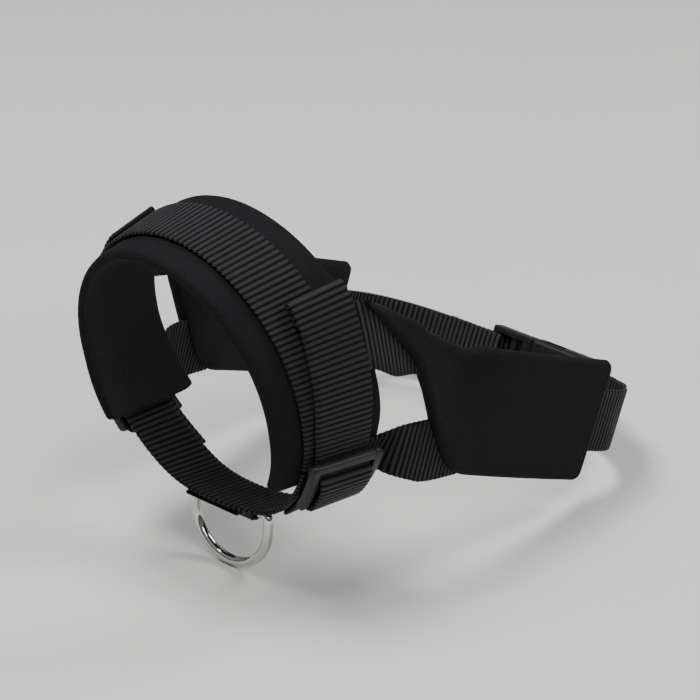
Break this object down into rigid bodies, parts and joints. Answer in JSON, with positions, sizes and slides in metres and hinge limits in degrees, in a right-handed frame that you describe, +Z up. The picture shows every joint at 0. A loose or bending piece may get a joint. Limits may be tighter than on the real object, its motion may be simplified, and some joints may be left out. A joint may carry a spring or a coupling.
{
  "type": "soft loop muzzle",
  "caption": "Soft dog muzzle: padded webbing nose loop with sliders, D-ring under the chin, side straps and a padded neck band closed by a side-release buckle.",
  "frame": {"origin": "centre of the nose loop, where the dog's snout passes", "axes": "-Y towards the dog's nose, +X the dog's left, +Z up; the neck band runs back along +Y"},
  "size_m": [0.1396, 0.2402, 0.15],
  "materials": {
    "webbing": "ribbed nylon webbing, black",
    "neoprene": "jersey-faced neoprene, matte black",
    "foam": "closed-cell neoprene foam, black",
    "lining": "soft jersey lining, charcoal",
    "nickel": "polished nickel-plated steel wire",
    "plastic": "moulded acetal, black, satin"
  },
  "bodies": {
    "harness": {"nose_pad_cover": "neoprene", "nose_pad_core": "foam", "nose_pad_lining": "lining", "nose_webbing": "webbing", "left_cheek_webbing": "webbing", "right_cheek_webbing": "webbing", "chin_strap": "webbing", "d_ring_keeper": "webbing", "left_upper_side_strap": "webbing", "right_upper_side_strap": "webbing", "left_lower_side_strap": "webbing", "right_lower_side_strap": "webbing", "left_neck_strap": "webbing", "right_neck_strap": "webbing", "left_strap_fold": "webbing", "left_neck_pad_cover": "neoprene", "right_neck_pad_cover": "neoprene", "left_neck_pad_lining": "lining", "right_neck_pad_lining": "lining", "buckle_socket": "plastic"},
    "d_ring": {"d_ring": "nickel"},
    "left_slider": {"left_cheek_slider": "plastic", "left_slider_wrap": "webbing"},
    "right_slider": {"right_cheek_slider": "plastic", "right_slider_wrap": "webbing"},
    "plug": {"buckle_plug": "plastic", "plug_wrap": "webbing"},
    "upper_prong": {"buckle_upper_prong": "plastic"},
    "lower_prong": {"buckle_lower_prong": "plastic"}
  },
  "joints": [
    {"name": "d_ring_swing", "type": "hinge", "parent": "harness", "child": "d_ring", "pos_m": [0, 0.01, -0.0591], "axis": [1, 0, 0], "range_deg": [-70, 70]},
    {"name": "left_slider_travel", "type": "hinge", "parent": "harness", "child": "left_slider", "pos_m": [-0.01403, 0.00016, -0.00064], "axis": [0, 0.9701, 0.2425], "range_deg": [-7, 7]},
    {"name": "right_slider_travel", "type": "hinge", "parent": "harness", "child": "right_slider", "pos_m": [0.01403, 0.00016, -0.00064], "axis": [0, -0.9701, -0.2425], "range_deg": [-7, 7]},
    {"name": "buckle_release", "type": "slide", "parent": "harness", "child": "plug", "axis": [-1, 0, 0], "range_m": [0, 0.02], "deforming": ["buckle_upper_prong", "buckle_lower_prong"]},
    {"name": "upper_prong_squeeze", "type": "hinge", "parent": "plug", "child": "upper_prong", "pos_m": [0.0046, 0.1948, -0.0597], "axis": [0, 0.9285, -0.3714], "range_deg": [0, 7], "stiffness_Nm_per_rad": 0.3},
    {"name": "lower_prong_squeeze", "type": "hinge", "parent": "plug", "child": "lower_prong", "pos_m": [0.0046, 0.18692, -0.07938], "axis": [0, 0.9285, -0.3714], "range_deg": [-7, 0], "stiffness_Nm_per_rad": 0.3}
  ],
  "couplings": [
    {"joint": "lower_prong_squeeze", "follows": "upper_prong_squeeze", "ratio": -1}
  ]
}
